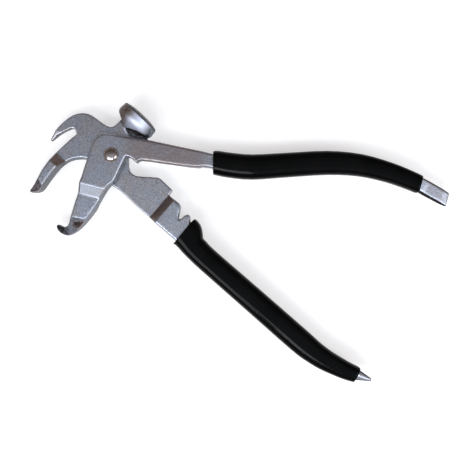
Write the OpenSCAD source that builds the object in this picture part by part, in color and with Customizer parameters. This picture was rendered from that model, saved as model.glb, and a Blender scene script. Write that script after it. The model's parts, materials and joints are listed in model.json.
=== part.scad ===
// Wheel weight hammer: a claw, a hook and a round hammer head on two forged halves that turn on one rivet.
// Lengths are in millimetres. The halves are drawn lying flat, with the rivet at the origin and the plane
// where they meet at height zero. The hammer half's lower arm is drawn along X and then turned to its place.

/* [Pivot] */
// Thickness of each half where the two lap over each other
lap_t = 6; // [5:0.25:7]
// Gap between the two lap faces
lap_gap = 0.1; // [0.05:0.05:0.2]
// Diameter of the rivet's shank
rivet_d = 7; // [5:0.5:8]
// Radial clearance of the shank in the hook half, which turns on it
turn_fit = 0.05; // [0.02:0.01:0.1]
// Radial clearance of the shank in the hammer half, which holds it
hold_fit = 0.02; // [0.01:0.01:0.05]
// Diameter of the rivet's head
head_d = 9.4; // [8.5:0.1:11]
// Height of the rivet's head
head_h = 2.2; // [1:0.1:3]
// Height of the peened end at the back
peen_h = 1.4; // [0.8:0.1:2.5]

/* [Forgings] */
// Thickness of the jaws and of the bars behind them
bar_t = 9; // [7.5:0.25:10.5]
// Radius that rounds the edges of both forgings
edge_r = 1.3; // [0.6:0.1:1.6]
// Radius that is left on the edges of the lap faces
lap_edge_r = 0.3; // [0.2:0.1:0.8]
// How far the walls on the inner side of the jaws lean, from back to front
jaw_lean = 1; // [0:0.1:1.6]
// Thickness of a bar where it ends inside its grip
tang_end_t = 5.4; // [4:0.2:7]
// Width of a bar inside its grip
tang_w = 9.4; // [7:0.2:9.6]

/* [Hammer] */
// Diameter of the hammer head
hammer_d = 26; // [21:0.5:32]
// How much smaller the face is than the back of the rim
rim_taper = 1; // [0:0.2:2]
// Length of the head's rim, along its axis
rim_len = 6.4; // [4:0.1:8]
// How far the middle of the face stands out past its edge
crown_h = 1.6; // [0.5:0.1:2.5]
// Diameter of the flat in the middle of the face
land_d = 10; // [6:0.5:14]
// Angle between the side of the cone behind the rim and the axis
cone_a = 61; // [50:1:64]
// Radius that blends the rim into the cone
shoulder_r = 3.6; // [0.5:0.1:5]
// Direction of the hammer's axis
hammer_a = 47; // [44:0.5:50]
// Gap between the head's rim and the hook half's bar, fully open
stop_gap = 1.5; // [0.4:0.1:3]
// Place along the bar where the head's rim is nearest to it
stop_x = 22.6; // [21:0.2:26]
// How far the wall that clears the bar under the head turns from the bar
relief_turn = -14; // [-18:1:-8]
// How far that wall leans back from upright
relief_a = 6; // [2:1:20]

/* [Ground tips] */
// Distance from the rivet to the bevel on the hook's tip
hook_bevel_x = 41.3; // [39:0.1:44]
// Slope of the bevel on the hook's tip
hook_bevel_a = 28; // [18:1:34]
// Distance from the rivet to the bevel on the claw's tip
claw_bevel_x = 46.2; // [44:0.1:50]
// Slope of the bevel on the claw's tip
claw_bevel_a = 27; // [18:1:34]

/* [Lower arm] */
// Direction of the hammer half's lower arm
arm_a = -41; // [-43:0.5:-39]
// Distance from the rivet to the step that ends its lap face
step_x = 42; // [40:0.5:44]
// Length of the slope from the lap face up to the full thickness
step_run = 5.1; // [4:0.1:7]
// How much further out the hook half's back steps, to let the arm's nose pass
step_clear = 1.5; // [1:0.1:2.5]
// Distance from the rivet to the lower grip
lower_grip_x = 64; // [63:0.5:68]
// Length of the lower grip
lower_grip_len = 139; // [110:1:170]
// Diameter of the awl where it leaves the grip
awl_d = 6.8; // [5:0.1:7.2]
// Diameter of the awl's rounded point
awl_point_d = 2.4; // [1:0.1:3]
// Length of the awl outside the grip
awl_len = 9.8; // [7:0.1:16]

/* [Upper handle] */
// Distance from the rivet to the upper grip
upper_grip_x = 62.2; // [60:0.2:68]
// Length of the upper grip, along X
upper_grip_len = 128; // [106:1:155]
// Direction of the pry tip
pry_a = -29; // [-33:1:-25]
// Length of the pry tip outside the grip
pry_len = 18.6; // [12:0.2:24]
// Width of the pry tip at its end
pry_w = 8; // [6:0.2:9]
// Thickness of the pry tip at its end
pry_end_t = 2.4; // [1:0.1:3]
// How much further the pry tip's lower edge reaches than its upper one
pry_skew = 1.9; // [0:0.1:3]

/* [Grips] */
// Thickness of the grips beside the jaws
grip_t = 14.4; // [12.4:0.2:17]
// Thickness of the grips at their far ends
grip_end_t = 10.4; // [9:0.2:13]
// Clearance between a bar and the grip round it
grip_fit = 0.05; // [0.02:0.01:0.1]
// Radius that rounds the ends of the grips
grip_end_r = 0.7; // [0.4:0.1:1.6]
// How round the grips are across: 1 is an ellipse, and less is squarer
grip_roundness = 0.72; // [0.6:0.02:1]

/* [Hidden] */
// How many straight pieces a curve has between two of its points
pieces = 3;

// A point of the smooth curve through the points p, between point i and the next
function between(p, i, t) =
  let (a = p[max(i - 1, 0)], b = p[i], c = p[i + 1], d = p[min(i + 2, len(p) - 1)])
  (2 * b + (c - a) * t + (2 * a - 5 * b + 4 * c - d) * t ^ 2 + (3 * b - a - 3 * c + d) * t ^ 3) / 2;

// The smooth curve through the points p
function curve(p) =
  concat([for (i = [0:len(p) - 2]) for (k = [0:pieces - 1]) between(p, i, k / pieces)], [p[len(p) - 1]]);

// Lines along a handle. Each is a list of [x, y, width], where only x stretches with the length.
function stretched(p, x0, len) =
  [for (q = p) [x0 + q[0] * len / p[len(p) - 1][0], q[1], q[2]]];
function middle(line) = [for (q = line) [q[0], q[1]]];
function widths(line) = [for (q = line) [q[0], q[2]]];
function slope(line, x) = atan(lookup(x + 0.5, middle(line)) - lookup(x - 0.5, middle(line)));
function beside(line, x, out) =
  [x, lookup(x, middle(line))] + out * [-sin(slope(line, x)), cos(slope(line, x))];

// A bar is given as stations from one end to the other. Each station is a cut across it:
// [outer edge x, y, inner edge x, y, height of the back, height of the front]

// A station between station i and the next: its edges follow a smooth curve, its heights a straight line
function station(s, i, t) =
  let (p = between(s, i, t), q = s[i] * (1 - t) + s[i + 1] * t)
  [p[0], p[1], p[2], p[3], q[4], q[5]];

// The stations of a smooth run, with the given number of steps between each two
function eased(s, steps = 2) =
  concat([for (i = [0:len(s) - 2]) for (k = [0:steps - 1]) station(s, i, k / steps)], [s[len(s) - 1]]);

function turned(s, a) = [for (q = s) [
  q[0] * cos(a) - q[1] * sin(a), q[0] * sin(a) + q[1] * cos(a),
  q[2] * cos(a) - q[3] * sin(a), q[2] * sin(a) + q[3] * cos(a), q[4], q[5]
]];

// The radius of the edges at some height. The lap faces are ground flat, which leaves their edges crisp.
function edge_at(z) = abs(z) < lap_z + 0.01 ? lap_edge_r : edge_r;

// How far the inner wall leans at a station: fully on the jaws, and not at all on the handles
function lean(s, width, full) = min(full, width * 0.35) * lookup((s[0] + s[2]) / 2, [[0, 1], [8, 0]]);

// The cross-section at a station: a rectangle with its corners rounded, whose inner wall may lean
function section(s, full_lean) =
  let (
    outer = [s[0], s[1]],
    inner = [s[2], s[3]],
    width = norm(outer - inner),
    across = (outer - inner) / width,
    set_back = lean(s, width, full_lean),
    most = min(width - set_back, s[5] - s[4]) * 0.4,
    back_r = min(most, edge_at(s[4])),
    front_r = min(most, edge_at(s[5]))
  )
  [for (corner = [0:3]) for (a = [0:30:90])
    let (
      turn = corner * 90 + a,
      out = corner == 0 || corner == 3,
      r = corner < 2 ? front_r : back_r,
      edge = out ? outer - across * r : inner + across * (corner == 1 ? r + set_back : r),
      place = edge + across * r * cos(turn),
      height = (corner < 2 ? s[5] - r : s[4] + r) + r * sin(turn)
    )
    [place[0], place[1], height]];

// A closed skin over a list of rings with equally many points
module skin(rings) {
  n = len(rings[0]);
  last = len(rings) - 1;
  polyhedron(
    points = [for (r = rings) for (p = r) p],
    faces = concat(
      [[for (i = [0:n - 1]) i]],
      [for (r = [0:last - 1]) for (i = [0:n - 1])
        let (a = r * n, b = a + n, j = (i + 1) % n) each [[a + i, b + i, a + j], [b + i, b + j, a + j]]],
      [[for (i = [n - 1:-1:0]) last * n + i]]
    )
  );
}

// A forged bar with rounded edges through its stations
module forged(stations, full_lean = jaw_lean) {
  skin([for (s = stations) section(s, full_lean)]);
}

// A station of the room that a grip leaves for a bar: larger all round by the fit
function roomy(s) =
  let (across = [s[0] - s[2], s[1] - s[3]], grow = across / norm(across) * grip_fit)
  [s[0] + grow[0], s[1] + grow[1], s[2] - grow[0], s[3] - grow[1], s[4] - grip_fit, s[5] + grip_fit];

module forged_room(stations) {
  forged([for (s = stations) roomy(s)]);
}

// Half of the thickness of a jaw or bar, and the height of a lap face off the plane where the halves meet
half_t = bar_t / 2;
lap_z = lap_gap / 2;

// The thickness of a bar inside its grip thins evenly from x0 to x1. This is half of it.
function tang_z(x, x0, x1) = lookup(x, [[x0, half_t], [x1, tang_end_t / 2]]);

// A station of a bar inside its grip
function tang(line, x, w, x0, x1) =
  let (a = beside(line, x, w / 2), b = beside(line, x, -w / 2), z = tang_z(x, x0, x1))
  [a[0], a[1], b[0], b[1], -z, z];

// Upper handle: where the grip's middle runs, and how wide the grip is
upper_line = curve(stretched([
  [0, -4.4, 15], [3, -4.6, 15.4], [10, -5.8, 15.7], [24, -7, 15.8], [46, -5.7, 15.4],
  [70, -4.4, 15.1], [90, -5.8, 14.1], [108, -10.3, 12.8], [121, -15.2, 12], [127, -17.9, 11.5]
], upper_grip_x, upper_grip_len));
upper_end_x = upper_grip_x + upper_grip_len;
upper_end_y = lookup(upper_end_x, middle(upper_line));

// Lower handle, drawn along X: where the grip's middle runs, and how wide the grip is
lower_line = curve(stretched([
  [0, -6.2, 20.4], [2.5, -6.4, 20.6], [8, -8.6, 16.8], [10.5, -9.3, 15.6], [14, -9.6, 15.4],
  [23, -10.1, 15.1], [60, -10.2, 15.4], [98, -10.4, 15.6], [109, -10.1, 14.6], [117, -9.2, 13.6],
  [124, -7.7, 12.6], [132, -5.6, 11.4], [139, -3.1, 10]
], lower_grip_x, lower_grip_len));
lower_end_x = lower_grip_x + lower_grip_len;
lower_end_y = lookup(lower_end_x, middle(lower_line));
awl_a = slope(lower_line, lower_end_x - 3);

// Hook half, from the hook's point to the crotch. Its back steps down to the lap face in the first part,
// and its front steps up to the plate round the rivet.
hook_jaw = eased([
  [-33.9, -42.5, -35.1, -43.8, -half_t, half_t],
  [-33, -42.7, -34.8, -45.8, -half_t, half_t],
  [-31.6, -43.4, -32.6, -48.2, -half_t, half_t],
  [-29.6, -44.1, -28.6, -49.6, -half_t, half_t],
  [-27.6, -42.9, -24.4, -48.4, -half_t, half_t],
  [-26.3, -40.6, -19.5, -44.9, -half_t, half_t],
  [-25.4, -37.4, -14.5, -39.3, -half_t, half_t],
  [-23.2, -30, -9.9, -33.2, -half_t, half_t],
  [-21.9, -26.3, -7.7, -30, lap_z, half_t],
  [-20.8, -23, -6.2, -27.3, lap_z, half_t],
  [-19.9, -16.7, -2.4, -21, lap_z, lap_t],
  [-18.4, -13.2, 0.2, -18.3, lap_z, lap_t],
  [-17.2, -9.2, 2.6, -16.4, lap_z, lap_t],
  [-15.6, -4.3, 4.7, -12, lap_z, lap_t],
  [-13.6, 1.9, 7.1, -7, lap_z, lap_t],
  [-11.8, 7, 9, -3, lap_z, lap_t],
  [-10.3, 9.9, 9.5, -2.1, lap_z, lap_t],
  [-7.6, 12.2, 9.9, -1.7, lap_z, lap_t],
  [-4.2, 13.3, 10.4, -1.5, lap_z, lap_t],
  [0.4, 12.9, 11, -1.5, lap_z, lap_t]
]);
// The root of the bar, with a small tooth on its lower edge
hook_tooth = [
  [5.5, 11.7, 11.8, -1.8, lap_z, lap_t],
  [9.5, 11.1, 13.4, -3, lap_z, lap_t],
  [13, 10.6, 15.7, -5.1, lap_z, lap_t],
  [15.4, 10.3, 16.7, -3.9, lap_z, lap_t],
  [18.6, 9.8, 18.6, -3.4, lap_z, lap_t]
];
// The bar up to its grip. Its back steps down to the full thickness where the lap face ends.
bar_end_x = upper_grip_x - 1.5;
function upper_front(x) = lookup(x, [[30, lap_t], [bar_end_x, half_t]]);
bar_step_x = step_x + step_clear;
hook_bar = [
  [24, 8.95, 23.6, -3.9, lap_z, lap_t],
  [30, 7.8, 29.6, -4.8, lap_z, lap_t],
  [bar_step_x, 5, bar_step_x - 0.4, -6.7, lap_z, upper_front(bar_step_x)],
  [bar_step_x + step_run, 4, bar_step_x + step_run - 0.4, -7.2, -half_t, upper_front(bar_step_x + step_run)],
  [54.5, 2.8, 54, -7.6, -half_t, upper_front(54)],
  [56, 2.5, 55.6, -7, -half_t, upper_front(56)],
  [bar_end_x, 1.3, bar_end_x, -7.6, -half_t, half_t]
];
function upper_tang(t) = tang(upper_line, upper_grip_x + t * upper_grip_len, tang_w, bar_end_x, upper_end_x);
hook_tang = eased([for (t = [0.05, 0.12, 0.25, 0.4, 0.55, 0.7, 0.82, 0.92, 1]) upper_tang(t)], 3);
// A station of the pry tip, at some distance from the end of the grip and with its lower edge ahead
function blade(d, w, t, ahead) =
  let (
    along = [cos(pry_a), sin(pry_a)],
    out = [-along[1], along[0]] * w / 2,
    c = [upper_end_x, upper_end_y] + d * along,
    inner = c - out + ahead * along
  )
  [c[0] + out[0], c[1] + out[1], inner[0], inner[1], -t / 2, t / 2];
pry_tip = [
  blade(0.25 * pry_len, tang_w, tang_end_t * 0.8, 0),
  blade(0.8 * pry_len, tang_w - 0.2, max(pry_end_t, 0.7 * tang_end_t), 0.6 * pry_skew),
  blade(0.96 * pry_len, tang_w - 0.8, pry_end_t * 1.1, 0.9 * pry_skew),
  blade(pry_len, pry_w, pry_end_t, pry_skew)
];

// Hammer half, from the claw's point to its step down to the lap face, and round under the hook half
claw_jaw = [
  [-51.7, -21.6, -51, -22.8, -half_t, half_t],
  [-50.2, -19.8, -47.6, -23, -half_t, half_t],
  [-48.4, -17.9, -44.6, -22.3, -half_t, half_t],
  [-46.1, -14.6, -42.4, -20.3, -half_t, half_t],
  [-43, -8.7, -38.7, -14.9, -half_t, half_t],
  [-38.55, -2.5, -32.9, -7.7, -half_t, half_t],
  [-35.35, 2.1, -28.5, -4.2, -half_t, -lap_z],
  [-30.1, 7, -25, -2.6, -half_t - 0.3, -lap_z],
  [-24.8, 11.8, -21.6, -2, -half_t - 1, -lap_z],
  [-20.5, 14.6, -18.2, -1.9, -lap_t, -lap_z],
  [-14, 17, -14.2, -3.3, -lap_t, -lap_z],
  [-6, 15.5, -10.4, -6.1, -lap_t, -lap_z],
  [1, 14, -8, -9, -lap_t, -lap_z],
  [6, 10.5, -6.1, -11.6, -lap_t, -lap_z],
  [8.6, 4, -4.4, -14.1, -lap_t, -lap_z]
];
// The lower arm, drawn along X, up to the step on its upper edge
function lower_back(x) = lookup(x, [[28, -lap_t], [lower_grip_x - 2, -half_t]]);
arm_root = [
  [8.8, 4.4, 9.2, -14.3, -lap_t, -lap_z],
  [11.4, 1.4, 12, -14.4, -lap_t, -lap_z],
  [14.6, -0.4, 15.2, -13.7, -lap_t, -lap_z],
  [18.4, -0.1, 18.6, -13.4, -lap_t, -lap_z],
  [21.6, 1.9, 22, -13.5, -lap_t, -lap_z],
  [26, 5.3, 26, -13.7, -lap_t, -lap_z],
  [30, 8.3, 30, -13.9, -lap_t, -lap_z]
];
arm_step = [
  [31.6, 8.7, 31.6, -14, lower_back(32), -lap_z],
  [step_x - 0.2, 8.2, step_x - 0.2, -14, lower_back(step_x), -lap_z],
  [step_x + 0.2, 4.4, step_x + 0.3, -14, lower_back(step_x), -lap_z],
  [step_x + step_run, 4.7, step_x + step_run, -14, lower_back(step_x + step_run), half_t]
];
// The nose, the notch and the tooth, measured back from the grip
nose_x = lower_grip_x - 13.4;
arm_nose = [
  [nose_x, 4.8, nose_x, -13.9, lower_back(nose_x), half_t],
  [nose_x + 1.9, 3.9, nose_x + 1.9, -13.9, lower_back(nose_x), half_t],
  [nose_x + 3.1, 1.9, nose_x + 3.2, -13.9, lower_back(nose_x), half_t],
  [nose_x + 4.6, -0.7, nose_x + 4.8, -13.9, lower_back(nose_x), half_t],
  [nose_x + 5.6, -2.3, nose_x + 5.9, -13.9, lower_back(nose_x), half_t],
  [nose_x + 6.7, -2.5, nose_x + 6.9, -13.9, lower_back(nose_x), half_t],
  [nose_x + 7.3, -0.8, nose_x + 7.7, -13.9, lower_back(nose_x), half_t],
  [nose_x + 7.6, 1.8, nose_x + 8.4, -13.9, lower_back(nose_x), half_t],
  [nose_x + 8.8, 3.6, nose_x + 9.2, -13.9, -half_t, half_t],
  [nose_x + 10.4, 3, nose_x + 10.4, -13.9, -half_t, half_t],
  [nose_x + 12.2, 1, nose_x + 12.2, -13.9, -half_t, half_t]
];
tang_root_x = lower_grip_x + 1;
// The lower bar stops inside the grip, a little past the start of the awl's round shank
shank_in = 9;
shank_lap = 1;
tang_end = 1 - (shank_in - shank_lap) / lower_grip_len;
tang_end_x = lower_end_x - shank_in + shank_lap;
function lower_tang(t) =
  let (
    end_w = awl_d + 0.8,
    taper = [[0.07, tang_w + 2.2], [0.13, tang_w + 0.6], [0.2, tang_w], [0.8, tang_w], [tang_end, end_w]]
  )
  tang(lower_line, lower_grip_x + t * lower_grip_len, lookup(t, taper), tang_root_x, tang_end_x);
arm_tang = concat(
  [[tang_root_x, -0.4, tang_root_x, -13.9, -half_t, half_t]],
  eased([for (t = [0.07, 0.13, 0.2, 0.4, 0.6, 0.72, 0.8, 0.88, tang_end]) lower_tang(t)], 3)
);
// The room for the bar goes a little further into the grip than the bar does
room_end_gap = 0.3;
arm_room_end = lower_tang(tang_end + room_end_gap / lower_grip_len);

// The rail over the top of the plate, from the upper claw to the neck of the hammer
claw_rail = eased([
  [-39.2, 9.9, -38.3, 9.2, -4.6, -1.8],
  [-38.3, 11.8, -36.3, 11, -5.2, -1],
  [-35.6, 16, -31.7, 14.5, -lap_t, -lap_z],
  [-30.6, 21.3, -27.2, 16.7, -lap_t, -lap_z],
  [-24.6, 25.5, -23.9, 17, -lap_t, -lap_z],
  [-18.5, 26.7, -21.4, 11.5, -lap_t, -lap_z],
  [-13, 25.2, -16, 9.5, -lap_t, -lap_z],
  [-6.4, 20.4, -9, 8, -lap_t, -lap_z],
  [-1.6, 18, -1, 6.5, -lap_t, -lap_z],
  [1.8, 19.4, 6.4, 1.6, -lap_t, -lap_z],
  [4.8, 22.4, 10.4, 1.4, -lap_t, -lap_z],
  [8, 23.2, 14, 4.2, -lap_t, -lap_z],
  [10.6, 22.4, 18.2, 7, -lap_t, -lap_z],
  [13, 20.4, 22, 9.6, -lap_t, -lap_z]
]);
// The round end of the slot between the upper claw and the jaw
slot_end = [-25.4, 14.5];
slot_r = 2.6;

// The hammer's place follows from the bar that its rim stops against.
bar_top = [for (s = concat(hook_tooth, hook_bar)) [s[0], s[1]]];
bar_top_a = atan((lookup(stop_x + 5, bar_top) - lookup(stop_x - 5, bar_top)) / 10);
rim_corner = [stop_x, lookup(stop_x, bar_top) + stop_gap];
face_mid = rim_corner + [cos(hammer_a), sin(hammer_a)] * rim_len
  + [-sin(hammer_a), cos(hammer_a)] * hammer_d / 2;

// The tool's box, which sets where it stands
claw_x = claw_jaw[0][0];
pry_x = pry_tip[3][0];
top_y = face_mid[1] + hammer_d / 2 * cos(hammer_a);
awl_reach = [lower_end_x, lower_end_y] + awl_len * [cos(awl_a), sin(awl_a)];
grip_rim_x = lower_end_x - grip_end_r;
grip_rim = beside(lower_line, grip_rim_x, -lookup(grip_rim_x, widths(lower_line)) / 2);
low_y = min([for (p = [awl_reach, grip_rim]) p[0] * sin(arm_a) + p[1] * cos(arm_a)]);

module stand() {
  translate([-(claw_x + pry_x) / 2, -(top_y + low_y) / 2, hammer_d / 2]) children();
}

// Directions from the rivet in which the two tips are ground, and room enough to clear either tip
hook_bevel_turn = 260;
claw_bevel_turn = 210;
tip_room = 80;

// What grinding takes off the front of a tip: all that is past a line across it and above a sloping face
module ground(direction, distance, slope_a) {
  rotate([0, 0, direction]) translate([distance, -tip_room / 2, half_t])
    rotate([0, slope_a, 0]) cube(tip_room);
}

module hook_half() {
  color("silver") stand() difference() {
    forged(concat(hook_jaw, hook_tooth, hook_bar, hook_tang, pry_tip));
    ground(hook_bevel_turn, hook_bevel_x, hook_bevel_a);
    translate([0, 0, -lap_t]) cylinder(r = rivet_d / 2 + turn_fit, h = 3 * lap_t, $fn = 64);
  }
}

// The hammer head, turned about its own axis, with the edge of its face in the plane of the origin
module hammer_head() {
  rim_r = hammer_d / 2;
  face_r = rim_r - rim_taper / 2;
  land_r = land_d / 2;
  shoulder_x = rim_len - shoulder_r * tan(cone_a / 2);
  crown_w = face_r - land_r - 0.6;
  edge_h = 0.4;
  rotate_extrude($fn = 96) polygon(concat(
    [[0, crown_h], [land_r, crown_h]],
    [for (t = [0.25:0.25:1]) [land_r + crown_w * t, crown_h - (crown_h - edge_h) * t ^ 1.6]],
    [[face_r, -edge_h / 2]],
    [for (t = [0:0.125:1]) let (a = t * cone_a)
      [rim_r - shoulder_r * (1 - cos(a)), -shoulder_x - shoulder_r * sin(a)]],
    [[0, -rim_len - rim_r / tan(cone_a)]]
  ));
}

// What is milled off the underside of the head, so that the hook half's bar passes it
module bar_relief() {
  room = 2 * hammer_d;
  translate([rim_corner[0], rim_corner[1], -lap_z]) rotate([0, 0, bar_top_a + relief_turn])
    rotate([90, 0, 90]) translate([0, 0, -room / 2])
    linear_extrude(room) polygon([[0, 0], [room * tan(relief_a), room], [-room, room], [-room, 0]]);
}

// The awl's round shank and point, at the end of the lower arm
module awl() {
  tip_r = awl_point_d / 2;
  neck = 0.3;
  translate([lower_end_x, lower_end_y, 0]) rotate([0, 0, awl_a]) rotate([0, 90, 0])
    rotate_extrude($fn = 64) polygon(concat(
      [[0, -shank_in], [awl_d / 2, -shank_in], [awl_d / 2, neck]],
      [for (a = [10:20:90]) [tip_r * cos(a), awl_len - tip_r * (1 - sin(a))]]
    ));
}

module hammer_half() {
  color("silver") stand() difference() {
    union() {
      forged(concat(
        eased(concat(claw_jaw, turned(arm_root, arm_a))),
        turned(concat(arm_step, arm_nose, arm_tang), arm_a)
      ));
      forged(claw_rail, 0);
      difference() {
        translate([face_mid[0], face_mid[1], 0]) rotate([0, 0, hammer_a]) rotate([0, 90, 0]) hammer_head();
        bar_relief();
      }
      rotate([0, 0, arm_a]) awl();
    }
    ground(claw_bevel_turn, claw_bevel_x, claw_bevel_a);
    translate([0, 0, -2 * lap_t]) cylinder(r = rivet_d / 2 + hold_fit, h = 3 * lap_t, $fn = 64);
    translate([slot_end[0], slot_end[1], -2 * lap_t]) cylinder(r = slot_r, h = 3 * lap_t, $fn = 48);
  }
}

module pivot_rivet() {
  seat = lap_t + turn_fit;
  tail = lap_t + hold_fit;
  peen = [[0, 1], [0.3, 1], [0.46, 0.5], [0.48, 0]];
  color("dimgray") stand() rotate_extrude($fn = 64) polygon(concat(
    [for (p = peen) [head_d * p[0], -tail - peen_h * p[1]]],
    [[rivet_d / 2, -tail], [rivet_d / 2, seat], [head_d / 2, seat]],
    [for (a = [15:15:90]) [head_d / 2 * cos(a), seat + head_h * sin(a)]]
  ));
}

// A grip's cross-section at x along its line, drawn in by some amount
function grip_ring(line, x, x0, x1, drawn) =
  let (
    half_width = lookup(x, widths(line)) / 2 - drawn,
    half_depth = lookup(x, [[x0, grip_t], [x1, grip_end_t]]) / 2 - drawn,
    sides = 24
  )
  [for (i = [0:sides - 1])
    let (c = cos(i * 360 / sides), s = sin(i * 360 / sides))
    let (p = beside(line, x, half_width * sign(c) * abs(c) ^ grip_roundness))
    [p[0], p[1], half_depth * sign(s) * abs(s) ^ grip_roundness]];

module grip_body(line, x0, x1) {
  clear = 1.4 * grip_end_r;
  skin(concat(
    [for (a = [0:30:90]) grip_ring(line, x0 + grip_end_r * (1 - cos(a)), x0, x1, grip_end_r * (1 - sin(a)))],
    [for (q = line) if (q[0] > x0 + clear && q[0] < x1 - clear) grip_ring(line, q[0], x0, x1, 0)],
    [for (a = [90:-30:0]) grip_ring(line, x1 - grip_end_r * (1 - cos(a)), x0, x1, grip_end_r * (1 - sin(a)))]
  ));
}

module upper_grip() {
  color("#151515") stand() difference() {
    grip_body(upper_line, upper_grip_x, upper_end_x);
    forged_room(concat(hook_bar, hook_tang, pry_tip));
  }
}

module lower_grip() {
  color("#151515") stand() rotate([0, 0, arm_a]) difference() {
    grip_body(lower_line, lower_grip_x, lower_end_x);
    forged_room(concat(arm_nose, arm_tang, [arm_room_end]));
    translate([lower_end_x, lower_end_y, 0]) rotate([0, 0, awl_a]) rotate([0, 90, 0])
      translate([0, 0, -shank_in - grip_fit]) cylinder(r = awl_d / 2 + grip_fit, h = 2 * shank_in, $fn = 64);
  }
}

hammer_half();
hook_half();
pivot_rivet();
upper_grip();
lower_grip();
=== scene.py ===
import json
import math

import bmesh
import bpy
from mathutils import Matrix, Vector


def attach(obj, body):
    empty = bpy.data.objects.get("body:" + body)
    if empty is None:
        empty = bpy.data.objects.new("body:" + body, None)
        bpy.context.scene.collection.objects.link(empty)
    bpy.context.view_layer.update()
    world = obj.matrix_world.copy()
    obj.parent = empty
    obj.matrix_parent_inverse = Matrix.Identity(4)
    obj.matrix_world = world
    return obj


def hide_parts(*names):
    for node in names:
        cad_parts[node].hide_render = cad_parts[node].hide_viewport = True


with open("model.json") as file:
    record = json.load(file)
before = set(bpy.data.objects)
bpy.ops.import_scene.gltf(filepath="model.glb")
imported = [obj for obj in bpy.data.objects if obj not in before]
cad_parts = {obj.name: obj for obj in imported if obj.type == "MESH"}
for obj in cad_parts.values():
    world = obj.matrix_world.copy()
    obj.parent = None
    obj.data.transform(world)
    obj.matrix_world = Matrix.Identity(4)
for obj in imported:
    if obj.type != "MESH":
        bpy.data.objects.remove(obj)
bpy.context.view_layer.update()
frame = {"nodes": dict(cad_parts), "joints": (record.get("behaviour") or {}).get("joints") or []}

mm = 0.001
pivot = Vector(frame["joints"][0]["pos_m"])  # middle of the rivet, on the plane where the halves meet


def linear(hexCode):
    # sRGB hex to the linear colour that a socket takes
    parts = [int(hexCode[i:i + 2], 16) / 255 for i in (0, 2, 4)]
    return [c / 12.92 if c <= 0.04045 else ((c + 0.055) / 1.055) ** 2.4 for c in parts] + [1.0]


def addNode(tree, kind, props=None, values=None, links=None):
    node = tree.nodes.new(kind)
    for key, value in (props or {}).items():
        setattr(node, key, value)
    for key, value in (values or {}).items():
        node.inputs[key].default_value = value
    for key, source in (links or {}).items():
        tree.links.new(source, node.inputs[key])
    return node


def emptyMaterial(name):
    material = bpy.data.materials.new(name)
    material.use_nodes = True
    material.node_tree.nodes.clear()
    return material, material.node_tree


# camera: straight above the tool, at the distance that the photograph's perspective gives

camera = {
    "aimX": 72.06, "aimY": -45.32,  # what the middle of the photograph looks at, mm off the rivet
    "height": 400.0,                # mm above the plane where the halves meet
    "width": 284.0,                 # mm that the photograph spans there
    "near": 0.01, "far": 50.0,      # metres that the camera sees
}


def makeCamera(s):
    data = bpy.data.cameras.new("camera")
    data.sensor_fit = "HORIZONTAL"
    data.angle = 2 * math.atan(s["width"] / 2 / s["height"])
    data.clip_start = s["near"]
    data.clip_end = s["far"]
    cam = bpy.data.objects.new("camera", data)
    cam.location = pivot + Vector((s["aimX"], s["aimY"], s["height"])) * mm
    bpy.context.scene.collection.objects.link(cam)
    bpy.context.scene.camera = cam


makeCamera(camera)
print("camera placed")


# light: three soft boxes on the lower handle's side of the tool, in a room with brown walls, a pale sweep at the
# horizon and a pale ceiling that dims towards the upper handle's side

studio = {
    "boxes": [
        # turn and rise in degrees, distance and size in metres, power in watts
        {"name": "leftBox", "turn": -135, "rise": 50, "far": 1.1, "size": 0.46, "power": 4.0},
        {"name": "rightBox", "turn": -27, "rise": 50, "far": 1.1, "size": 0.4, "power": 3.4},
        {"name": "topBox", "turn": -96, "rise": 60, "far": 1.2, "size": 0.28, "power": 2.4},
    ],
    "boxColour": "F4F8FF",
    "aimHeight": 0.01,  # metres above the board that the boxes aim at
    # where the sweep and the wall end, by how steeply one looks up, and where the ceiling dims, by how far sideways
    "sweep": "FFFFFF", "sweepFrom": 0.09, "sweepTo": 0.16,
    "wall": "8A7A70", "wallFrom": 0.45, "wallTo": 0.85,
    "ceiling": "E6EAF4", "farCeiling": "6E625C", "dimFrom": -0.4, "dimTo": 0.6,
    "level": 1.0,
}


def makeLights(s):
    middle = Vector((0, 0, s["aimHeight"]))
    for b in s["boxes"]:
        turn, rise = math.radians(b["turn"]), math.radians(b["rise"])
        away = Vector((math.cos(turn) * math.cos(rise), math.sin(turn) * math.cos(rise), math.sin(rise)))
        light = bpy.data.lights.new(b["name"], "AREA")
        light.shape = "SQUARE"
        light.size = b["size"]
        light.energy = b["power"]
        light.color = linear(s["boxColour"])[:3]
        lamp = bpy.data.objects.new(b["name"], light)
        lamp.location = middle + away * b["far"]
        lamp.rotation_euler = (-away).to_track_quat("-Z", "Y").to_euler()
        lamp.visible_camera = False
        bpy.context.scene.collection.objects.link(lamp)


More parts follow.
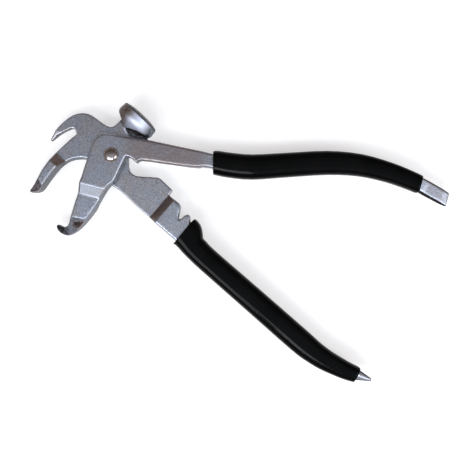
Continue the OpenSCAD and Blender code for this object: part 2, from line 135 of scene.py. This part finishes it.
def makeWorld(s):
    world = bpy.data.worlds.new("room")
    bpy.context.scene.world = world
    world.use_nodes = True
    tree = world.node_tree
    tree.nodes.clear()
    place = addNode(tree, "ShaderNodeTexCoord")
    axes = addNode(tree, "ShaderNodeSeparateXYZ", links={"Vector": place.outputs["Generated"]})
    far = addNode(tree, "ShaderNodeMapRange", {"interpolation_type": "SMOOTHSTEP"},
                  {"From Min": s["dimFrom"], "From Max": s["dimTo"]}, {"Value": axes.outputs["Y"]})
    tone = addNode(tree, "ShaderNodeMix", {"data_type": "RGBA"},
                   {6: linear(s["ceiling"]), 7: linear(s["farCeiling"])}, {0: far.outputs["Result"]})
    for colour, start, full in (("wall", "wallFrom", "wallTo"), ("sweep", "sweepFrom", "sweepTo")):
        above = addNode(tree, "ShaderNodeMapRange", {"interpolation_type": "SMOOTHSTEP"},
                        {"From Min": s[start], "From Max": s[full]}, {"Value": axes.outputs["Z"]})
        tone = addNode(tree, "ShaderNodeMix", {"data_type": "RGBA"},
                       {6: linear(s[colour])}, {0: above.outputs["Result"], 7: tone.outputs[2]})
    glow = addNode(tree, "ShaderNodeBackground", values={"Strength": s["level"]}, links={"Color": tone.outputs[2]})
    addNode(tree, "ShaderNodeOutputWorld", links={"Surface": glow.outputs["Background"]})


makeLights(studio)
makeWorld(studio)
print("lights and room made")


# floor: matt white board, whose white shows to the eye and in the metal, with the tool's soft shadow on it

board = {
    "size": 12.0, "below": 0.0001,  # metres across, and under the tool so that the two don't flicker
    "colour": "E4E4E4",
    "lift": 0.48,                   # glow that only the eye, metal and glass see, which brings it up to white
}


def makeFloor(s):
    bm = bmesh.new()
    bmesh.ops.create_grid(bm, x_segments=1, y_segments=1, size=s["size"] / 2)
    mesh = bpy.data.meshes.new("floor")
    bm.to_mesh(mesh)
    bm.free()
    mesh.transform(Matrix.Translation((0, 0, -s["below"])))
    floor = bpy.data.objects.new("floor", mesh)
    bpy.context.scene.collection.objects.link(floor)
    material, tree = emptyMaterial("matt white board")  # painted board: no gloss, only a soft shadow
    path = addNode(tree, "ShaderNodeLightPath")
    seen = addNode(tree, "ShaderNodeMath", {"operation": "ADD"},
                   links={0: path.outputs["Is Camera Ray"], 1: path.outputs["Is Glossy Ray"]})
    seen = addNode(tree, "ShaderNodeMath", {"operation": "ADD", "use_clamp": True},
                   links={0: seen.outputs[0], 1: path.outputs["Is Transmission Ray"]})
    lift = addNode(tree, "ShaderNodeMath", {"operation": "MULTIPLY"}, {1: s["lift"]}, {0: seen.outputs[0]})
    glow = addNode(tree, "ShaderNodeEmission", links={"Strength": lift.outputs[0]})
    matt = addNode(tree, "ShaderNodeBsdfDiffuse", values={"Color": linear(s["colour"])})
    both = addNode(tree, "ShaderNodeAddShader", links={0: matt.outputs[0], 1: glow.outputs[0]})
    addNode(tree, "ShaderNodeOutputMaterial", links={"Surface": both.outputs[0]})
    mesh.materials.append(material)


makeFloor(board)
print("floor made")


# materials: their patterns' sizes are real ones, in mm

noiseRange = {"From Min": 0.3, "From Max": 0.7}  # where nearly all of a noise's values lie


def perMm(size):
    # the scale of a noise whose blotches are this many mm across
    return 1 / (size * mm)


steel = {
    # the plating: two greys in large blotches, and the parts of the grain that are pale or deep
    "cool": "A0A9B8", "warm": "A9A5A4", "blotchMm": 9.0,
    "grainMm": 0.66, "grainDetail": 3.0, "grainRough": 0.65,
    "pale": "B8BECA", "paleFrom": 0.5, "paleTo": 0.66, "deep": "868A92", "deepFrom": 0.5, "deepTo": 0.34,
    # painted shade (a grey and a dark), a painted highlight and a brown that is mostly a painted reflection, laid
    # over the plating; and how thin or thick specks make the brown and the dark
    "scale": "4E5256", "highlight": "E0E8F8", "brownTone": "957C70", "darkTone": "2E2A2A",
    "speckMm": 1.5, "speckRough": 0.6, "speckThin": 0.55, "speckThick": 1.15,
    # roughness of the satin grain from its low points to its high ones, and of where highlight and where dark is
    # painted
    "satinLow": 0.28, "satinHigh": 0.42, "polished": 0.56, "darkened": 0.75,
    "bump": 0.5, "bumpMm": 0.1,
}


def makeSteel(name, s):
    # zinc plated forged steel: a satin grey with a fine blasted grain. A real one is about 0.2 mm across, too fine
    # to show at this distance, so the grain is drawn coarser. A point attribute says how much brown (red: mostly a
    # painted reflection), grey painted shade (green), painted highlight (blue) and dark (alpha: mostly painted shade)
    # there is.
    material, tree = emptyMaterial(name)
    place = addNode(tree, "ShaderNodeTexCoord").outputs["Object"]
    blotch = addNode(tree, "ShaderNodeTexNoise", values={"Scale": perMm(s["blotchMm"])}, links={"Vector": place})
    grain = addNode(tree, "ShaderNodeTexNoise", values={"Scale": perMm(s["grainMm"]), "Detail": s["grainDetail"],
                                                        "Roughness": s["grainRough"]}, links={"Vector": place})
    speck = addNode(tree, "ShaderNodeTexNoise", values={"Scale": perMm(s["speckMm"]), "Roughness": s["speckRough"]},
                    links={"Vector": place})
    paintedLightAndTone = addNode(tree, "ShaderNodeAttribute", {"attribute_name": "paintedLightAndTone"})
    share = addNode(tree, "ShaderNodeSeparateColor", links={"Color": paintedLightAndTone.outputs["Color"]})

    # how much there is of each colour that is laid over the first grey
    warm = addNode(tree, "ShaderNodeMapRange", values=noiseRange, links={"Value": blotch.outputs["Fac"]})
    pale = addNode(tree, "ShaderNodeMapRange", values={"From Min": s["paleFrom"], "From Max": s["paleTo"]},
                   links={"Value": grain.outputs["Fac"]})
    deep = addNode(tree, "ShaderNodeMapRange", values={"From Min": s["deepFrom"], "From Max": s["deepTo"]},
                   links={"Value": grain.outputs["Fac"]})
    patchy = addNode(tree, "ShaderNodeMapRange",
                     values={**noiseRange, "To Min": s["speckThin"], "To Max": s["speckThick"]},
                     links={"Value": speck.outputs["Fac"]})
    brownTone = addNode(tree, "ShaderNodeMath", {"operation": "MULTIPLY", "use_clamp": True},
                   links={0: share.outputs["Red"], 1: patchy.outputs["Result"]})
    darkTone = addNode(tree, "ShaderNodeMath", {"operation": "MULTIPLY", "use_clamp": True},
                   links={0: paintedLightAndTone.outputs["Alpha"], 1: patchy.outputs["Result"]})

    tone = addNode(tree, "ShaderNodeMix", {"data_type": "RGBA"}, {6: linear(s["cool"]), 7: linear(s["warm"])},
                   {0: warm.outputs["Result"]})
    # laid over the plating: a grey of painted shade, a pale painted highlight, a brown that is mostly a painted
    # reflection, and a dark that is mostly painted shade
    layers = [("pale", pale.outputs["Result"]), ("deep", deep.outputs["Result"]), ("scale", share.outputs["Green"]),
              ("highlight", share.outputs["Blue"]), ("brownTone", brownTone.outputs[0]), ("darkTone", darkTone.outputs[0])]
    for colour, amount in layers:
        tone = addNode(tree, "ShaderNodeMix", {"data_type": "RGBA"}, {7: linear(s[colour])},
                       {0: amount, 6: tone.outputs[2]})

    roughness = addNode(tree, "ShaderNodeMapRange",
                        values={**noiseRange, "To Min": s["satinLow"], "To Max": s["satinHigh"]},
                        links={"Value": grain.outputs["Fac"]})
    for finish, amount in (("polished", share.outputs["Blue"]), ("darkened", paintedLightAndTone.outputs["Alpha"])):
        roughness = addNode(tree, "ShaderNodeMix", {"data_type": "FLOAT", "clamp_factor": True}, {3: s[finish]},
                            {0: amount, 2: roughness.outputs[0]})
    bump = addNode(tree, "ShaderNodeBump", values={"Strength": s["bump"], "Distance": s["bumpMm"] * mm},
                   links={"Height": grain.outputs["Fac"]})
    shader = addNode(tree, "ShaderNodeBsdfPrincipled", values={"Metallic": 1.0},
                     links={"Base Color": tone.outputs[2], "Roughness": roughness.outputs[0],
                            "Normal": bump.outputs["Normal"]})
    addNode(tree, "ShaderNodeOutputMaterial", links={"Surface": shader.outputs["BSDF"]})
    return material


rivetSteel = {
    "bare": "B0AAA6", "tarnish": "948C88", "marksMm": 1.6,
    "roughness": 0.18, "bump": 0.04, "bumpMm": 0.04,
}


def makeRivetSteel(s):
    # bare polished steel with a faint brown tarnish, smoother than the plating
    material, tree = emptyMaterial("polished rivet steel")
    place = addNode(tree, "ShaderNodeTexCoord").outputs["Object"]
    marks = addNode(tree, "ShaderNodeTexNoise", values={"Scale": perMm(s["marksMm"])}, links={"Vector": place})
    share = addNode(tree, "ShaderNodeMapRange", values=noiseRange, links={"Value": marks.outputs["Fac"]})
    tone = addNode(tree, "ShaderNodeMix", {"data_type": "RGBA"}, {6: linear(s["bare"]), 7: linear(s["tarnish"])},
                   {0: share.outputs["Result"]})
    bump = addNode(tree, "ShaderNodeBump", values={"Strength": s["bump"], "Distance": s["bumpMm"] * mm},
                   links={"Height": marks.outputs["Fac"]})
    shader = addNode(tree, "ShaderNodeBsdfPrincipled", values={"Metallic": 1.0, "Roughness": s["roughness"]},
                     links={"Base Color": tone.outputs[2], "Normal": bump.outputs["Normal"]})
    addNode(tree, "ShaderNodeOutputMaterial", links={"Surface": shader.outputs["BSDF"]})
    return material


vinyl = {
    "base": "030404", "dull": "080909", "ior": 1.52, "gloss": 0.075,
    "scuffMm": 14.0, "scuffDetail": 3.0, "shiny": 0.07, "scuffed": 0.16,  # roughness from clear places to scuffed ones
    "peelMm": 2.6, "peelDetail": 1.0, "bump": 0.2, "bumpMm": 0.1,
}


def makeVinyl(s):
    # dipped vinyl: deep black, glossy, with the slight orange peel that it sets with
    material, tree = emptyMaterial("dipped black vinyl")
    place = addNode(tree, "ShaderNodeTexCoord").outputs["Object"]
    peel = addNode(tree, "ShaderNodeTexNoise", values={"Scale": perMm(s["peelMm"]), "Detail": s["peelDetail"]},
                   links={"Vector": place})
    scuff = addNode(tree, "ShaderNodeTexNoise", values={"Scale": perMm(s["scuffMm"]), "Detail": s["scuffDetail"]},
                    links={"Vector": place})
    share = addNode(tree, "ShaderNodeMapRange", values=noiseRange, links={"Value": scuff.outputs["Fac"]})
    tone = addNode(tree, "ShaderNodeMix", {"data_type": "RGBA"}, {6: linear(s["base"]), 7: linear(s["dull"])},
                   {0: share.outputs["Result"]})
    roughness = addNode(tree, "ShaderNodeMapRange",
                        values={**noiseRange, "To Min": s["shiny"], "To Max": s["scuffed"]},
                        links={"Value": scuff.outputs["Fac"]})
    bump = addNode(tree, "ShaderNodeBump", values={"Strength": s["bump"], "Distance": s["bumpMm"] * mm},
                   links={"Height": peel.outputs["Fac"]})
    shader = addNode(tree, "ShaderNodeBsdfPrincipled", values={"IOR": s["ior"], "Specular IOR Level": s["gloss"]},
                     links={"Base Color": tone.outputs[2], "Roughness": roughness.outputs["Result"],
                            "Normal": bump.outputs["Normal"]})
    addNode(tree, "ShaderNodeOutputMaterial", links={"Surface": shader.outputs["BSDF"]})
    return material


hammerHalfSteel = makeSteel("zinc plated steel, hammer half", steel)
hookHalfSteel = makeSteel("zinc plated steel, hook half", steel)
polishedSteel = makeRivetSteel(rivetSteel)
blackVinyl = makeVinyl(vinyl)
print("materials made")


# forgings and grips: the CAD solids with their edges worn round, as a forging's or a dipped skin's are

forging = {"voxelMm": 0.36, "passes": 3, "push": 0.5, "keep": 0.62, "weldMm": 0.002}
sleeve = {"voxelMm": 0.4, "passes": 1, "push": 0.5, "keep": 0.45, "weldMm": 0.002}


def softCopy(nodeName, name, s):
    bm = bmesh.new()
    bm.from_mesh(frame["nodes"][nodeName].data)
    bmesh.ops.remove_doubles(bm, verts=bm.verts, dist=s["weldMm"] * mm)
    bmesh.ops.triangulate(bm, faces=bm.faces)
    mesh = bpy.data.meshes.new(name)
    bm.to_mesh(mesh)
    bm.free()
    piece = bpy.data.objects.new(name, mesh)
    bpy.context.scene.collection.objects.link(piece)
    remesh = piece.modifiers.new("even mesh", "REMESH")
    remesh.mode = "VOXEL"
    remesh.voxel_size = s["voxelMm"] * mm
    smooth = piece.modifiers.new("worn edges", "SMOOTH")
    smooth.factor = s["push"]
    smooth.iterations = s["passes"]
    thin = piece.modifiers.new("fewer faces", "DECIMATE")
    thin.ratio = s["keep"]
    final = bpy.data.meshes.new_from_object(piece.evaluated_get(bpy.context.evaluated_depsgraph_get()))
    piece.modifiers.clear()
    piece.data = final
    final.name = name
    final.polygons.foreach_set("use_smooth", [True] * len(final.polygons))
    final.update()
    bpy.data.meshes.remove(mesh)
    print(name, "has", len(final.polygons), "faces")
    return piece


# painted light and tone: each point of a forging gets its shares of a brown (mostly a painted reflection), a grey of
# painted shade, a painted highlight and a dark (mostly painted shade). Places are in mm off the rivet, turns
# in degrees. A pair gives the value where a zone starts and the one where it is full, so a falling pair fades it out.

def ease(value, start, full):
    t = min(1.0, max(0.0, (value - start) / (full - start)))
    return t * t * (3 - 2 * t)


def band(value, low, high, soft=0.3):
    return ease(value, low - soft, low + soft) * ease(value, high + soft, high - soft)


def alongTurn(x, y, degrees):
    a = math.radians(degrees)
    return x * math.cos(a) + y * math.sin(a)


# what a normal's z says: a wall stands upright, the front looks up, and its flats are all but level; upright walls
# get a darker grey as painted shade
facing = {"wall": (0.55, 0.2), "front": (0.2, 0.5), "level": (0.72, 0.88), "wallShade": 0.8}


# walls are painted a darker grey, the more upright the darker: painted shade
def wallShadeAt(normal):
    return facing["wallShade"] * ease(abs(normal.z), *facing["wall"])


def paintLightAndTone(piece, paintAt):
    mesh = piece.data
    paintedLightAndTone = mesh.attributes.new("paintedLightAndTone", "FLOAT_COLOR", "POINT")
    for point in mesh.vertices:
        x, y, z = (point.co - pivot) / mm
        paintedLightAndTone.data[point.index].color = paintAt(x, y, z, point.normal)


hammerPaint = {
    # hammer head: the middle of its face, where it looks, its rim, and how steeply the cone behind that narrows
    "headX": 17.46, "headY": 24.22, "headTurn": 47.0, "rim": 6.4, "radius": 13.0, "coneTurn": 61.0,
    # what counts as the cone: right of coneX, above coneY, behind coneFront and near enough to its true skin
    "coneX": -2.0, "coneY": 10.0, "coneFront": 2.0, "coneSkin": 0.9,
    # the cone from its lower right to its upper left: painted shade at its end, a painted highlight that fades, and a
    # painted brown reflection; a painted dark line of shade at the lip
    "end": (-7.5, -12.0), "endShade": 0.8, "dull": (0.0, 8.0), "highlightFadeShare": 0.9,
    "brownReflection": (0.5, 7.5), "brownThin": (10.0, 12.5), "brownThinShare": 0.6, "brownBack": (0.3, 1.0), "reflectionDark": 0.65,
    "lip": (1.1, 0.5), "lipShade": 0.85,
    # the face and the front of its rim, painted dark as shade
    "faceX": 0.0, "faceY": 8.0, "faceDeep": 0.6, "faceShadeGrey": 0.3, "faceShadeDark": 0.6,
    # painted shade in the corner under the cone: its slanted left end, its sloping lower edge, its right end, back and
    # top
    "creaseX": 6.9, "creaseY": 16.8, "creaseTurn": 32.0, "creaseLeft": (0.2, 0.7), "creaseSlope": 4.0,
    "creaseLow": (50.0, 68.0), "creaseRight": (23.5, 22.5), "creaseBack": (-0.4, -0.2), "creaseTop": (6.5, 5.5),
    "creaseShadeDark": 1.05,
    # the claw's ramp, with a painted brown reflection and painted shade, and its ground tip, made brown and dark
    "rampX": -38.55, "rampY": -2.5, "rampTurn": 47.4, "rampLen": 5.1, "rampSoft": 0.5, "rampRight": (-24.0, -27.0),
    "rampHigh": (6.0, 4.5), "rampLow": (-12.0, -10.0), "rampReflection": 0.8, "rampShade": 0.22,
    "tipTurn": 210.0, "tip": (45.9, 46.7), "tipBrown": 0.5, "tipDark": 0.75,
    # the lower arm's ramp, with a painted brown reflection, and the awl, with a painted highlight and sides painted
    # dark as shade
    "armTurn": -41.0, "stepFrom": 42.3, "stepTo": 47.0, "stepLow": -14.5, "stepHigh": 5.2, "stepSoft": 0.5,
    "stepReflection": 0.75, "awlFrom": 202.0, "awlHighlight": 0.2, "awlSide": (0.95, 0.5), "awlSideShade": 1.1,
}


def conePaintedLightAt(s, ahead, across, creaseShade):
    # all of the cone's colour is painted light: a brown reflection, a highlight, shade at its end and along its lip,
    # and the shade of the corner under it
    brownReflection = ease(across, *s["brownReflection"]) * (1 - s["brownThinShare"] * ease(across, *s["brownThin"]))
    brownReflection *= ease(-ahead, *s["brownBack"])
    lip = s["lipShade"] * ease(-ahead, *s["lip"])
    end = s["endShade"] * ease(across, *s["end"])
    highlight = (1 - s["highlightFadeShare"] * ease(across, *s["dull"])) * (1 - lip)
    return brownReflection, 0.0, highlight, max(lip, end, s["reflectionDark"] * brownReflection, s["creaseShadeDark"] * creaseShade)


def clawAndArmPaintAt(s, x, y, arm, normal, creaseShade):
    # the claw's ramp: a painted brown reflection with some painted shade
    ahead = alongTurn(x - s["rampX"], y - s["rampY"], s["rampTurn"])
    ramp = band(ahead, 0.0, s["rampLen"], s["rampSoft"])
    ramp *= ease(x, *s["rampRight"]) * ease(y, *s["rampHigh"]) * ease(y, *s["rampLow"])
    # the lower arm's ramp: a painted brown reflection
    step = band(arm, s["stepFrom"], s["stepTo"])
    step *= band(alongTurn(x, y, s["armTurn"] + 90), s["stepLow"], s["stepHigh"], s["stepSoft"])
    # the claw's ground tip: brown, and dark on its flats
    tip = ease(alongTurn(x, y, s["tipTurn"]), *s["tip"])
    brownTone = max(s["rampReflection"] * ramp, s["stepReflection"] * step, s["tipBrown"] * tip)
    tipDark = s["tipDark"] * tip * ease(normal.z, *facing["level"])
    darkTone = max(tipDark, s["rampShade"] * ramp, s["creaseShadeDark"] * creaseShade)
    return ease(normal.z, *facing["front"]) * brownTone, wallShadeAt(normal), 0.0, darkTone


def hammerPaintAt(x, y, z, normal):
    s = hammerPaint
    ahead = alongTurn(x - s["headX"], y - s["headY"], s["headTurn"])
    across = alongTurn(x - s["headX"], y - s["headY"], s["headTurn"] + 90)
    cone = s["radius"] - max(0.0, -ahead - s["rim"]) * math.tan(math.radians(s["coneTurn"]))
    byCone = x > s["coneX"] and y > s["coneY"] and ahead < s["coneFront"]
    # painted shade in the corner under the hammer's cone, on the cone's lower side, the neck and the plate below it
    creaseShade = ease(alongTurn(x - s["creaseX"], y - s["creaseY"], s["creaseTurn"]), *s["creaseLeft"])
    creaseShade *= ease(x + s["creaseSlope"] * y, *s["creaseLow"]) * ease(x, *s["creaseRight"])
    creaseShade *= ease(normal.z, *s["creaseBack"])
    if byCone and abs(math.hypot(across, z) - cone) < s["coneSkin"]:
        creaseShade *= ease(z, *s["creaseTop"]) if across < 0 else 0.0
        return conePaintedLightAt(s, ahead, across, creaseShade)
    # the hammer's face and the front of its rim are painted dark as shade
    if x > s["faceX"] and y > s["faceY"] and ahead > -s["faceDeep"]:
        return 0.0, s["faceShadeGrey"], 0.0, s["faceShadeDark"]
    arm = alongTurn(x, y, s["armTurn"])
    # the awl: a painted highlight, and its sides painted dark as shade
    if arm > s["awlFrom"]:
        return 0.0, 0.0, s["awlHighlight"], s["awlSideShade"] * ease(normal.z, *s["awlSide"])
    # walls get the grey of painted shade, and the corner under the cone its painted shade
    if normal.z < facing["front"][0]:
        return 0.0, wallShadeAt(normal), 0.0, s["creaseShadeDark"] * creaseShade
    return clawAndArmPaintAt(s, x, y, arm, normal, creaseShade)


hookPaint = {
    # the hook's ground tip, dark and paler to the right, and the brown patch at its upper end
    "tipTurn": 260.0, "tip": (41.0, 41.8), "tipDark": 1.25, "tipPale": (-33.0, -26.0), "tipPaleShare": 0.55,
    "patchLeft": (-26.0, -23.0), "patchFrom": -44.6, "patchTo": -40.5, "patchSoft": 0.8,
    # the jaw's ramp, left of jawX and on the jaw's front, painted darker as shade, with a painted highlight line along
    # both of its edges
    "jawX": 6.0, "jawFront": (2.5, 4.0), "jawLevel": (0.8, 0.9),
    "rampTurn": -103.8, "rampFrom": 21.0, "rampTo": 27.6, "rampShadeGrey": 0.5, "rampShade": 0.12,
    "line": 0.4, "lineSoft": 0.2, "lineHighlight": 0.3,
    # the upper bar's thin painted brown reflection, with a little painted shade
    "barLeft": (4.0, 16.0), "barRight": (62.0, 52.0), "barReflection": 0.5, "barShade": 0.2,
    # the pry tip: painted shade along both edges, with a painted highlight line beside the lower one, and a faint
    # painted sheen all over
    "pryFrom": 189.0, "pryTurn": 61.0, "pryLowEdge": (73.2, 72.9), "pryHighEdge": (80.2, 80.6), "pryEdgeShade": 1.5,
    "pryLineFrom": 73.3, "pryLineTo": 74.0, "pryLineSoft": 0.2, "pryLineHighlight": 0.6, "prySheen": 0.1,
}


def pryPaintAt(s, x, y):
    across = alongTurn(x, y, s["pryTurn"])
    # painted shade along the pry tip's edges, a painted highlight line beside the lower one, and a faint painted sheen
    # all over
    edge = max(ease(across, *s["pryLowEdge"]), ease(across, *s["pryHighEdge"]))
    line = band(across, s["pryLineFrom"], s["pryLineTo"], s["pryLineSoft"])
    return 0.0, 0.0, s["prySheen"] + s["pryLineHighlight"] * line, s["pryEdgeShade"] * edge


def hookPaintAt(x, y, z, normal):
    s = hookPaint
    if x > s["pryFrom"]:
        return pryPaintAt(s, x, y)
    # walls get the grey of painted shade
    sideShade = wallShadeAt(normal)
    if normal.z < facing["front"][0]:
        return 0.0, sideShade, 0.0, 0.0
    # the ground tip: dark, and paler to the right, with a brown patch at its upper end
    tip = ease(alongTurn(x, y, s["tipTurn"]), *s["tip"])
    tipDark = tip * (s["tipDark"] - s["tipPaleShare"] * ease(x, *s["tipPale"]))
    patch = tip * ease(x, *s["patchLeft"]) * band(y, s["patchFrom"], s["patchTo"], s["patchSoft"])
    ahead = alongTurn(x, y, s["rampTurn"])
    onJaw = ease(z, *s["jawFront"]) * ease(normal.z, *s["jawLevel"]) if x < s["jawX"] else 0.0
    # a painted highlight line along both edges of the jaw's ramp, whose face between them gets painted shade
    line = max(band(ahead, edge - s["line"], edge + s["line"], s["lineSoft"]) for edge in (s["rampFrom"], s["rampTo"]))
    ramp = band(ahead, s["rampFrom"], s["rampTo"]) * onJaw * (1 - line)
    # the upper bar's painted brown reflection, with a little painted shade
    bar = s["barReflection"] * ease(x, *s["barLeft"]) * ease(x, *s["barRight"])
    darkTone = max(tipDark, patch, s["barShade"] * bar, s["rampShade"] * ramp) * ease(normal.z, *facing["level"])
    return max(patch, bar), max(sideShade, s["rampShadeGrey"] * ramp), s["lineHighlight"] * line * onJaw, darkTone


pieces = [
    # node, piece, body, slot, material, shape, where light, shade and tone are painted on it
    ("hammer_half", "hammerHalf", "hammer_body", "hammer_half_steel", hammerHalfSteel, forging, hammerPaintAt),
    ("hook_half", "hookHalf", "hook_body", "hook_half_steel", hookHalfSteel, forging, hookPaintAt),
    ("upper_grip", "upperGrip", "hook_body", "grip_vinyl", blackVinyl, sleeve, None),
    ("lower_grip", "lowerGrip", "hammer_body", "grip_vinyl", blackVinyl, sleeve, None),
]

for node, name, body, slot, material, shape, paintAt in pieces:
    piece = softCopy(node, name, shape)
    if paintAt:
        paintLightAndTone(piece, paintAt)
    piece.data.materials.clear()
    piece.data.materials.append(material)
    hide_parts(node)
    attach(piece, body)
print("forgings and grips made")


# rivet: spun in mm round its own axis, then scaled and moved to its place

rivet = {
    "shank": 3.5, "head": 4.7, "headFrom": 6.05, "headTall": 2.2, "headStep": 10,
    "tail": 4.45, "tailFrom": -6.02, "tailTall": 1.4,
    "tailRound": [(0.6, 0.05), (0.9, 0.35), (1.0, 0.9)],  # shares of the tail's radius, and mm up from its end
    "steps": 96, "weld": 0.001, "sharp": 50,
}


def makeRivet(s):
    end = s["tailFrom"] - s["tailTall"]
    outline = [(0, end)] + [(share * s["tail"], end + up) for share, up in s["tailRound"]]
    outline += [(s["tail"], s["tailFrom"]), (s["shank"], s["tailFrom"]), (s["shank"], s["headFrom"])]
    for degrees in range(0, 91, s["headStep"]):
        a = math.radians(degrees)
        outline.append((s["head"] * math.cos(a), s["headFrom"] + s["headTall"] * math.sin(a)))
    bm = bmesh.new()
    verts = [bm.verts.new((max(r, 0.0), 0, z)) for r, z in outline]
    edges = [bm.edges.new(pair) for pair in zip(verts, verts[1:])]
    bmesh.ops.spin(bm, geom=verts + edges, cent=(0, 0, 0), axis=(0, 0, 1), angle=2 * math.pi, steps=s["steps"],
                   use_merge=True)
    bmesh.ops.remove_doubles(bm, verts=bm.verts, dist=s["weld"])
    bmesh.ops.recalc_face_normals(bm, faces=bm.faces)
    bmesh.ops.scale(bm, vec=(mm, mm, mm), verts=bm.verts)
    bmesh.ops.translate(bm, vec=pivot, verts=bm.verts)
    mesh = bpy.data.meshes.new("pivotRivet")
    bm.to_mesh(mesh)
    bm.free()
    mesh.polygons.foreach_set("use_smooth", [True] * len(mesh.polygons))
    mesh.set_sharp_from_angle(angle=math.radians(s["sharp"]))
    piece = bpy.data.objects.new("pivotRivet", mesh)
    bpy.context.scene.collection.objects.link(piece)
    piece.data.materials.append(polishedSteel)
    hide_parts("pivot_rivet")
    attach(piece, "hammer_body")


makeRivet(rivet)
print("rivet made")


bpy.context.scene.view_settings.view_transform = "Standard"
